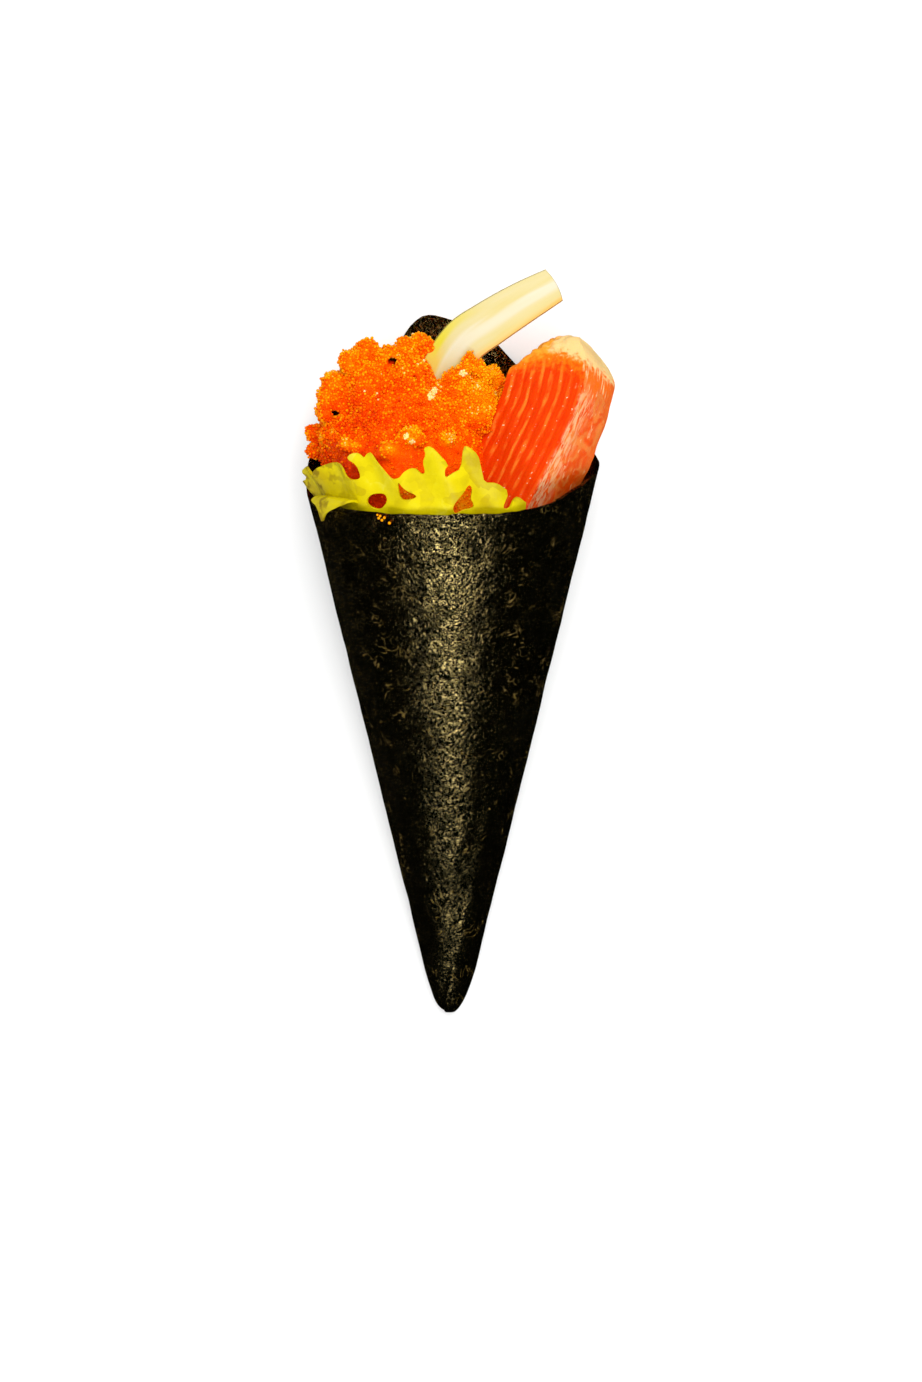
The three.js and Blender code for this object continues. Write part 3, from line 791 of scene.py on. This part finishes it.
def cut_flat(outline, gaps, cell):
    """A flat sheet inside an outline and round its gaps, split into cells, given one unit of thickness."""
    bm = bmesh.new()
    edges = []
    for loop in [outline, *gaps]:
        corners = [bm.verts.new((x, y, 0)) for x, y in loop]
        edges += [bm.edges.new(pair) for pair in zip(corners, corners[1:] + corners[:1])]
    bmesh.ops.triangle_fill(bm, edges=edges, use_beauty=True)
    for axis in range(2):
        low = min(v.co[axis] for v in bm.verts)
        high = max(v.co[axis] for v in bm.verts)
        normal = Vector((axis == 0, axis == 1, 0))
        for k in range(1, math.ceil((high - low) / cell[axis])):
            everything = bm.verts[:] + bm.edges[:] + bm.faces[:]
            place = normal * (low + k * cell[axis])
            bmesh.ops.bisect_plane(bm, geom=everything, plane_co=place, plane_no=normal)
    raised = bmesh.ops.extrude_face_region(bm, geom=bm.faces[:])["geom"]
    corners = [g for g in raised if isinstance(g, bmesh.types.BMVert)]
    bmesh.ops.translate(bm, verts=corners, vec=(0, 0, 1))
    return bm


def lettuce_frill(material):
    left, right = LEAF_SPAN
    edge = [FRILL[0], *rounded_loop(FRILL, 1)[1:-3], FRILL[-1]]
    outline = [(right, LEAF_ROOT), (left, LEAF_ROOT), *edge]
    bm = cut_flat(outline, [rounded_loop(gap) for gap in FRILL_GAPS], LEAF_CELL)
    for v in bm.verts:
        degrees, past, side = v.co
        turn = math.radians(degrees)
        height = RUFFLE + FRILL_RUFFLE * smoothstep(past, 0, FRILL_RISE)
        wave = height * math.sin(turn * RUFFLES + past / 4)
        v.co = leaf_point(turn, past, wave + (side - 0.5) * LEAF)
    return finished(bm, "lettuce_frill", "lettuce_leaf", "lettuce", material)


def lettuce_lobe(material):
    rows = len(HANGING_LOBE) - 1

    def row_at(place):
        return row_through(range(rows + 1), HANGING_LOBE, place)

    def middle(place, at=None):
        turn, inset, past, _, _ = row_at(place)
        turn = math.radians(turn if at is None else at)
        return wall_point(rim_slant(turn) + past, turn, inset)

    bm = gridded_box(LOBE_CELLS)
    for v in bm.verts:
        place = (v.co.y + 0.5) * rows
        turn, inset, past, left, right = row_at(place)
        step = middle(min(rows, place + LOBE_STEP)) - middle(max(0, place - LOBE_STEP))
        at = turn + 2 * v.co.x * (left if v.co.x < 0 else right)
        across = swung(RIGHT, TOP, -math.radians(at))
        normal = across.cross(step).normalized()
        v.co = middle(place, at) + normal * v.co.z * LEAF
    return finished(bm, "lettuce_lobe", "lettuce_leaf", "lettuce", material)


# ---- Roe

# The heap's main lobes, as centres and radii.
HEAP_LOBES = [
    ((-7.7, 37, 27), (17.4, 22.5, 20.8)),
    ((-15.7, 53.8, 27), (6.4, 7.8, 12.5)),
    ((-7.2, 55.5, 27), (6, 8, 13)),
    ((5.4, 51.5, 28), (5.8, 6.8, 9.5)),
    ((-19.2, 44, 27), (6.8, 7.2, 13.5)),
    ((1.8, 53.6, 31), (6, 5.2, 7)),
    ((5.6, 50.5, 35), (4.2, 5.8, 5.4)),
    ((8.5, 28, 18), (18, 13.5, 15)),
]
# Knobs that stand out round the heap, as seen from above, with their radii.
RIM_KNOBS = [
    (-27, 45.8, 1.7), (-27, 42.4, 1.5), (-24.6, 50, 2), (-24.2, 52.8, 2.1), (-22.8, 55.6, 2.5),
    (-19.8, 60, 2.2), (-16.4, 62.2, 2.4), (-12, 61.4, 1.8), (-8.8, 63.2, 1.7), (-5.8, 63.6, 2.1),
    (-3.6, 62.6, 1.7), (-3, 61, 1), (-0.4, 56.6, 1.6), (1.6, 57.2, 1.7), (3.4, 59.2, 1.5), (4.2, 61, 0.7),
    (5.6, 60, 1.2), (8.6, 57.6, 1.7), (10.2, 56.2, 1.2), (10.6, 52.8, 1.4), (9.6, 48.2, 1),
]
RIM_KNOB_HEIGHTS = (25, 29, 33)
RIM_KNOB_SHIFT = 1.7  # the most that one is shifted up or down
LEFT_KNOB = (-21.6, 51.6, 2.6)  # one more like them, at the same heights and not shifted
# Lumps of grain on the smoother front of the heap, as centres and radii.
FRONT_KNOBS = [
    ((-20.6, 43.5, 41.2), 1.5), ((-18.8, 42.9, 42.4), 1.4), ((-12.2, 42, 46.6), 2.1),
    ((-7.8, 45, 46.6), 2.1), ((-0.4, 44.4, 44.8), 1.7),
]
# Smaller knobs break up each of those: how many and, in its radii, how far aside and how much lower they
# lie, and their own radii.
SUB_KNOBS = 4
SUB_KNOB_SHIFT = 0.9
SUB_KNOB_DROP = 0.4
SUB_KNOB_RADII = (0.45, 0.75)
# A small peak of roe over the foot of the avocado.
PEAK_KNOBS = [
    ((4.2, 61.5, 37), 0.9), ((3.9, 60, 36.8), 1.4), ((5.6, 59, 36.4), 1.5), ((2.4, 57.8, 37), 1.6),
    ((0.4, 56.6, 37), 1.7), ((7.4, 57.4, 35.6), 1.5),
]
KNOBS = 320  # tried over the whole heap
KNOB_RADII = (0.8, 2.1)
KNOB_SINK = 0.55  # how deep one sits, in its radii
KNOB_LOWEST = -0.9  # how far down a lobe they reach, where -1 is its foot
KNOBS_BEHIND = 43.5  # they lie further along the roll than this, to leave the front smooth
KNOBS_BELOW = 30  # or lower than this
SMOOTH_FRONT = (41.5, 45.5)  # the heap's grain sets in between these places along the roll
SMOOTH_FRONT_FOOT = (38, 34)  # and lower down, between these heights
HEAP_LUMPS = [(0.5, 3, 2), (0.3, 1.6, 6)]  # layers of lumps all over it: heights, sizes and seeds
HEAP_LUMPS_MIDDLE = 0.25  # the height of a lump that leaves the surface in its place
FRONT_LUMPS = 0.3  # the share of their height that is left on the smooth front
LUMP_FADE = (1.3, 0.4)  # where a lump of the front ends and where it is full, in its radii

ROOT_ROWS = (TIP_SLANT + FILLING_INSET, 119)  # slants between which the heap's root fills the cone
ROE_ROOM_FADE = (3, 6)  # degrees and millimetres over which its room behind the leaf begins
HEAP_VOXEL = 0.5
EGG_RADII = (0.22, 0.36)
EGGS_FROM = 118.5  # the slant from which the heap has eggs
EGGS_BURIED = 1.6  # inside the rim, nearer to the wall's outer face than this, it has none
EGG_GAP = 0.44  # the least distance between two eggs' middles
EGG_TRIES = 110000
EGG_PIECES = 5
SMOOTH_SHARE = 0.25  # the share of the eggs that shows where the heap is smooth
EGG_RISES = (-0.5, 0.1, 0.6)  # an egg's middle over the heap, in its radii: least, most, and most in grain
LOOSE_EGGS = 0.16  # the share that stands out from the heap
LOOSE_RISE = (0.5, 1.5)  # by this much more

# Where the heap's colour changes: a place seen from above, a reach, and a tone from 0, red, to 1, pale.
# Partly the roe's own tone, and partly painted light and shade: pale in the gaps of the leaf, where the
# leaf shades the heap, and red low behind the leaf.
TONES = [
    (-24.8, 57.4, 6, 0.76), (-16.8, 62.8, 5, 0.66), (-10.8, 62.4, 4, 0.76), (-5.8, 64, 4, 0.6),
    (-20.8, 59.4, 5, 0.68), (-13.8, 52.4, 8, 0.42), (-19.8, 49.4, 6, 0.27), (-25.8, 44.4, 5, 0.5),
    (-18.8, 38.4, 5, 0.1), (-14.8, 44.4, 5, 0.33), (-5.8, 39.4, 6, 0.42), (0.2, 52.4, 8, 0.52),
    (3.2, 59.4, 4, 0.78), (8.2, 54.4, 5, 0.95), (5.2, 47.4, 5, 0.6), (4.2, 39.4, 5, 0.42),
    (9.2, 49, 3, 0.7), (-18.8, 43.4, 3, 0.5), (-9, 43.6, 4, 0.55), (2.6, 33, 3, 0.95),
    (-8.7, 33.8, 2.5, 0.85), (-14.2, 32, 2.5, 0.1),
]
SIDE_LIGHT_TONE = 0.36  # painted light: added where the heap's surface stands steep, a golden glow round its sides
LUMP_TONE = 0.5  # added on the lumps of its front
CREVICE_SHADE_TONE = -0.1  # painted shade: added to the core, which shows between the eggs
TONE_SPREAD = 0.14  # how much the eggs' own tones differ
EGG_SHADING = 0.08  # painted shading: how much lighter an egg's tone is on its outer side
PALEST = 0.8  # the tone of the palest roe outside the flecks
# Pale flecks, and gaps between the eggs that are sunk and painted dark as painted shade, as seen from
# above, with their radii.
FLECKS = [
    (-3.5, 53.1, 0.8), (-2.9, 54.3, 0.7), (2.6, 57.6, 0.7), (-6.2, 59.4, 0.3), (-5, 60, 0.3),
    (-3.3, 58.8, 0.3), (-16, 55, 0.3), (-17, 54, 0.25), (-14.6, 53.4, 0.3), (-14, 52.4, 0.25),
    (-8.6, 45, 0.6), (-7.3, 43.9, 0.5),
]
FLECK_TONE = 1.2
GAPS = [(-11.4, 60, 0.8), (-22.8, 49.6, 0.65), (-6.8, 57, 0.3)]
GAP_SHADE_TONE = -1
GAP_DEPTH = 3
GAP_MARGIN = 0.2  # how far the eggs keep from them
FACES_UP = 0.2  # flecks and gaps lie only where the surface's normal points up by more than this
# Single eggs dropped on the seaweed, as turns in degrees and distances from the rim.
CRUMBS = [(-29.4, 0.4), (-28.2, 0.6), (-29, 1.1), (-27.6, 1.5), (-26.4, 0.9), (-24.4, 2)]


def roe_room(point):
    """How far the roe stays inside the wall's outer face: more behind the lettuce."""
    height, outward = height_and_outward(point)
    turn = turn_of(outward)
    past = height / math.cos(HALF_ANGLE) - rim_slant(turn)
    degrees = math.degrees(turn)
    left, right = LEAF_SPAN
    aside, below = ROE_ROOM_FADE
    behind = smoothstep(degrees, left - aside, left) * smoothstep(degrees, right + aside, right)
    reach = behind * smoothstep(past, LEAF_ROOT - below, LEAF_ROOT)
    return FILLING_INSET + reach * (LEAF_CLEARANCE + math.tan(-LEAF_LEAN) * max(past, 0))


def held_roe(point):
    return held_inside(point, roe_room(point))


def graininess(point):
    """How grainy the heap is at a place, from 0 to 1."""
    return max(smoothstep(point.y, *SMOOTH_FRONT), smoothstep(point.z, *SMOOTH_FRONT_FOOT))


def lumpiness(point):
    """How far a place is in one of the lumps on the heap's front, from 0 to 1."""
    near = max(
        smoothstep((point.xy - Vector(centre[:2])).length, *(radius * share for share in LUMP_FADE))
        for centre, radius in FRONT_KNOBS
    )
    return near * (0.7 + 0.5 * roughness_at(point, 0.9, 3))


def roe_tone(point, normal):
    """The heap's tone at a place: golden on the lumps of its front, and round its sides as painted light.
    """
    weights = [math.exp(-((point.x - x) ** 2 + (point.y - y) ** 2) / reach**2) for x, y, reach, _ in TONES]
    tone = sum(w * row[3] for w, row in zip(weights, TONES)) / (sum(weights) + 1e-9)
    tone += LUMP_TONE * lumpiness(point)
    return tone + SIDE_LIGHT_TONE * smoothstep(normal.z, 0.75, 0.1) * smoothstep(point.y, *SMOOTH_FRONT)


def within(point, spots, margin=0.0):
    return any((point.x - x) ** 2 + (point.y - y) ** 2 < (r + margin) ** 2 for x, y, r in spots)


def rounded_lobe(bm, centre, radii, detail=5):
    made = bmesh.ops.create_icosphere(bm, subdivisions=detail, radius=1)
    for v in made["verts"]:
        v.co = Vector(centre) + Vector(a * b for a, b in zip(v.co, radii))


def knobs(chance):
    """Places and radii of the knobs over the heap."""
    for x, y, radius in RIM_KNOBS:
        for height in RIM_KNOB_HEIGHTS:
            yield Vector((x, y, height + chance.uniform(-RIM_KNOB_SHIFT, RIM_KNOB_SHIFT))), radius
    yield from ((Vector(centre), radius) for centre, radius in FRONT_KNOBS + PEAK_KNOBS)
    x, y, radius = LEFT_KNOB
    yield from ((Vector((x, y, height)), radius) for height in RIM_KNOB_HEIGHTS)
    for _ in range(KNOBS):
        centre, radii = chance.choice(HEAP_LOBES)
        height = chance.uniform(KNOB_LOWEST, 1)
        heading = chance.uniform(0, 2 * math.pi)
        flat = math.sqrt(1 - height * height)
        direction = (flat * math.cos(heading), flat * math.sin(heading), height)
        radius = chance.uniform(*KNOB_RADII)
        point = Vector(c + d * (r - KNOB_SINK * radius) for c, d, r in zip(centre, direction, radii))
        if point.y > KNOBS_BEHIND or point.z < KNOBS_BELOW:
            yield point, radius
    for centre, radius in FRONT_KNOBS * SUB_KNOBS:
        aside = Vector(chance.uniform(-SUB_KNOB_SHIFT, SUB_KNOB_SHIFT) * radius for _ in range(3))
        aside.z -= SUB_KNOB_DROP * radius
        yield Vector(centre) + aside, radius * chance.uniform(*SUB_KNOB_RADII)


def remeshed(bm, voxel):
    """One closed skin round all the bodies in a mesh."""
    mesh = mesh_of(bm, "blank")
    blank = in_scene("blank", mesh)
    skin = blank.modifiers.new("skin", "REMESH")
    skin.mode = "VOXEL"
    skin.voxel_size = voxel
    graph = bpy.context.evaluated_depsgraph_get()
    skinned = bpy.data.meshes.new_from_object(blank.evaluated_get(graph))
    bpy.data.objects.remove(blank)
    bpy.data.meshes.remove(mesh)
    out = bmesh.new()
    out.from_mesh(skinned)
    bpy.data.meshes.remove(skinned)
    return out


def roe_core(chance):
    bm = bmesh.new()
    for centre, radii in HEAP_LOBES:
        rounded_lobe(bm, centre, radii)
    for centre, radius in knobs(chance):
        rounded_lobe(bm, centre, (radius,) * 3, 3)
    root = bmesh.ops.create_cone(bm, cap_ends=True, segments=64, radius1=1, radius2=1, depth=1)
    for v in root["verts"]:
        slant = ROOT_ROWS[0 if v.co.z < 0 else 1]
        v.co = wall_point(slant, math.atan2(v.co.x, v.co.y), FILLING_INSET)
    for v in bm.verts:
        v.co = held_roe(v.co)
    bm = remeshed(bm, HEAP_VOXEL)
    for _ in range(2):
        bmesh.ops.smooth_vert(
            bm, verts=bm.verts, factor=0.5, use_axis_x=True, use_axis_y=True, use_axis_z=True
        )
    bm.normal_update()
    tone = bm.verts.layers.float.new("tone")
    for v in bm.verts:
        lumps = sum(abs(height * roughness_at(v.co, size, seed)) for height, size, seed in HEAP_LUMPS)
        on_top = v.normal.z > FACES_UP
        is_fleck = on_top and within(v.co, FLECKS)
        # The core shows between the eggs: painted shade lowers its tone, and it gets none of the painted
        # light round the sides.
        v[tone] = FLECK_TONE if is_fleck else min(PALEST, roe_tone(v.co, UP) + CREVICE_SHADE_TONE)
        rise = (lumps - HEAP_LUMPS_MIDDLE) * lerp(FRONT_LUMPS, 1, graininess(v.co))
        # Gaps are sunk and painted dark, as painted shade in the pits.
        if on_top and within(v.co, GAPS):
            rise -= GAP_DEPTH
            v[tone] = GAP_SHADE_TONE
        v.co = held_roe(v.co + v.normal * rise)
    return finished(bm, "roe_core", "roe_heap", "roe", roe_material(), 180)


def surface_points(mesh, count, from_slant, chance):
    """Random places, even over a mesh's area past a slant, and the directions of its surface there."""
    mesh.calc_loop_triangles()
    corners = np.empty(len(mesh.vertices) * 3)
    mesh.vertices.foreach_get("co", corners)
    corners = corners.reshape(-1, 3) / MM
    faces = np.empty(len(mesh.loop_triangles) * 3, dtype=int)
    mesh.loop_triangles.foreach_get("vertices", faces)
    a, b, c = (corners[faces.reshape(-1, 3)[:, k]] for k in range(3))
    normals = np.cross(b - a, c - a)
    areas = np.linalg.norm(normals, axis=1)
    slants = ((a + b + c) / 3 - np.array(APEX)) @ np.array(AXIS) / math.cos(HALF_ANGLE)
    weights = np.where(slants > from_slant, areas, 0)
    chosen = chance.choice(len(areas), count, p=weights / weights.sum())
    u, v = chance.random((2, count, 1))
    flip = u + v > 1
    u, v = np.where(flip, 1 - u, u), np.where(flip, 1 - v, v)
    places = a[chosen] + u * (b - a)[chosen] + v * (c - a)[chosen]
    return places, normals[chosen] / areas[chosen, None]


def thinned(points, gap):
    """Which of the points to keep, so that no two are closer than a gap."""
    taken = {}
    kept = []
    for i, point in enumerate(points):
        cell = tuple(int(c // gap) for c in point)
        near = (
            other
            for x in (-1, 0, 1)
            for y in (-1, 0, 1)
            for z in (-1, 0, 1)
            for other in taken.get((cell[0] + x, cell[1] + y, cell[2] + z), ())
        )
        if all(sum((p - q) ** 2 for p, q in zip(point, points[k])) > gap * gap for k in near):
            taken.setdefault(cell, []).append(i)
            kept.append(i)
    return kept


def egg_piece(name, eggs, material):
    """One mesh of eggs, each given as its middle, the direction it faces, its radius and its tone."""
    bm = bmesh.new()
    bmesh.ops.create_uvsphere(bm, u_segments=8, v_segments=4, radius=1)
    ball = np.array([v.co for v in bm.verts])
    faces = [[v.index for v in face.verts] for face in bm.faces]
    bm.free()
    centres, directions, radii, tones = (np.array(column) for column in zip(*eggs))
    points = centres[:, None] + radii[:, None, None] * ball
    mesh = bpy.data.meshes.new(name)
    shifted = [[i + k * len(ball) for i in face] for k in range(len(eggs)) for face in faces]
    mesh.from_pydata((points.reshape(-1, 3) * MM).tolist(), [], shifted)
    shade = tones[:, None] + EGG_SHADING * directions @ ball.T
    mesh.attributes.new("tone", "FLOAT", "POINT").data.foreach_set("value", shade.ravel())
    dressed(mesh, name, "roe_heap", "roe", material, 180)


def roe_eggs(core, neighbours):
    spread = np.random.default_rng(5)
    chance = random.Random(6)
    graph = bpy.context.evaluated_depsgraph_get()
    trees = [(BVHTree.FromObject(piece, graph), piece.name.startswith("lettuce")) for piece in neighbours]

    def is_free(point):
        """Whether an egg here would stand clear of the pieces beside the heap."""
        for tree, is_sheet in trees:
            spot, normal, _, distance = tree.find_nearest(point * MM)
            if distance < EGG_RADII[0] * MM or not is_sheet and (point * MM - spot).dot(normal) < 0:
                return False
        return True

    places, normals = surface_points(core.data, EGG_TRIES, EGGS_FROM, spread)
    least, most, most_in_grain = EGG_RISES
    eggs = []
    for i in thinned(places.tolist(), EGG_GAP):
        point, normal = Vector(places[i]), Vector(normals[i])
        height, outward = height_and_outward(point)
        is_inside = height / math.cos(HALF_ANGLE) < rim_slant(turn_of(outward))
        is_buried = is_inside and height * math.tan(HALF_ANGLE) - outward.length < EGGS_BURIED
        if is_buried or within(point, GAPS, GAP_MARGIN):
            continue
        grainy = graininess(point)
        raised = max(grainy, lumpiness(point))
        if chance.random() > max(raised, SMOOTH_SHARE):
            continue
        radius = chance.uniform(*EGG_RADII)
        centre = point + normal * radius * chance.uniform(least, lerp(most, most_in_grain, raised))
        if chance.random() < LOOSE_EGGS * grainy:
            centre += normal * radius * chance.uniform(*LOOSE_RISE)
        if not is_free(centre):
            continue
        # An egg's tone has the painted light round the heap's sides.
        tone = min(PALEST, roe_tone(point, normal) + chance.gauss(0, TONE_SPREAD))
        if normal.z > FACES_UP and within(point, FLECKS):
            tone = FLECK_TONE
        eggs.append((centre, normal, radius, tone))
    for degrees, from_rim in CRUMBS:
        turn = math.radians(degrees)
        centre = wall_point(rim_slant(turn) - from_rim, turn, -EGG_RADII[1])
        eggs.append((centre, outward_at(turn), chance.uniform(*EGG_RADII), PALEST))
    for number in range(EGG_PIECES):
        egg_piece(f"roe_eggs_{number + 1}", eggs[number::EGG_PIECES], core.data.materials[0])


# ---- The roll

nori_sheet()
lettuce = lettuce_material()
fillings = [salmon_slice(), avocado_slice(), lettuce_frill(lettuce), lettuce_lobe(lettuce)]
roe_eggs(roe_core(random.Random(4)), fillings)

# ---- Floor, light and camera

FRAME_CENTRE = Vector((2.4, -5.8, 0))  # what the middle of the picture looks at
FRAME_HEIGHT = 276.4
CAMERA_HEIGHT = 6000
EYE_LEVEL = 27  # height over the floor at which FRAME_HEIGHT holds
SENSOR = 36
LIT_PLACE = Vector((0, 10, 25))  # what the lights face


def floor():
    bm = bmesh.new()
    bmesh.ops.create_grid(bm, x_segments=1, y_segments=1, size=3)
    ground = in_scene("floor", mesh_of(bm, "floor"))
    material, _ = new_material("floor")
    ground.data.materials.append(coated(material, Base_Color=(0.93, 0.93, 0.925, 1), Roughness=0.9))
    ground.visible_glossy = False


def softbox(name, direction, distance, size, power):
    """A soft light at a distance from the place that the lights face."""
    light = bpy.data.lights.new(name, "AREA")
    light.shape = "RECTANGLE"
    light.size, light.size_y = (s * MM for s in size)
    light.energy = power
    lamp = in_scene(name, light)
    aim = Vector(direction).normalized()
    lamp.location = (LIT_PLACE + aim * distance) * MM
    lamp.rotation_euler = aim.to_track_quat("Z", "Y").to_euler()
    return lamp


def camera():
    lens = bpy.data.cameras.new("camera")
    lens.sensor_width = SENSOR
    lens.lens = SENSOR * (CAMERA_HEIGHT - EYE_LEVEL) / FRAME_HEIGHT
    lens.clip_end = 20
    eye = in_scene("camera", lens)
    eye.location = (FRAME_CENTRE + UP * CAMERA_HEIGHT) * MM
    bpy.context.scene.camera = eye


def surroundings():
    world = bpy.data.worlds.new("studio")
    world.use_nodes = True
    background = world.node_tree.nodes["Background"].inputs
    background["Color"].default_value = (1, 1, 1, 1)
    background["Strength"].default_value = 0.55
    bpy.context.scene.world = world
    world.cycles_visibility.glossy = False
    bpy.context.scene.view_settings.view_transform = "Standard"


floor()
softbox("overhead", (0.1, 0.35, 1), 700, (600, 600), 4.7).visible_glossy = False
softbox("front", (0, -0.69, 0.72), 600, (300, 220), 1.75)
softbox("side", (0.75, 0.6, 0.45), 600, (400, 400), 0.5).visible_glossy = False
softbox("key", (-0.35, 0.35, 1), 600, (90, 90), 0.25)
camera()
surroundings()
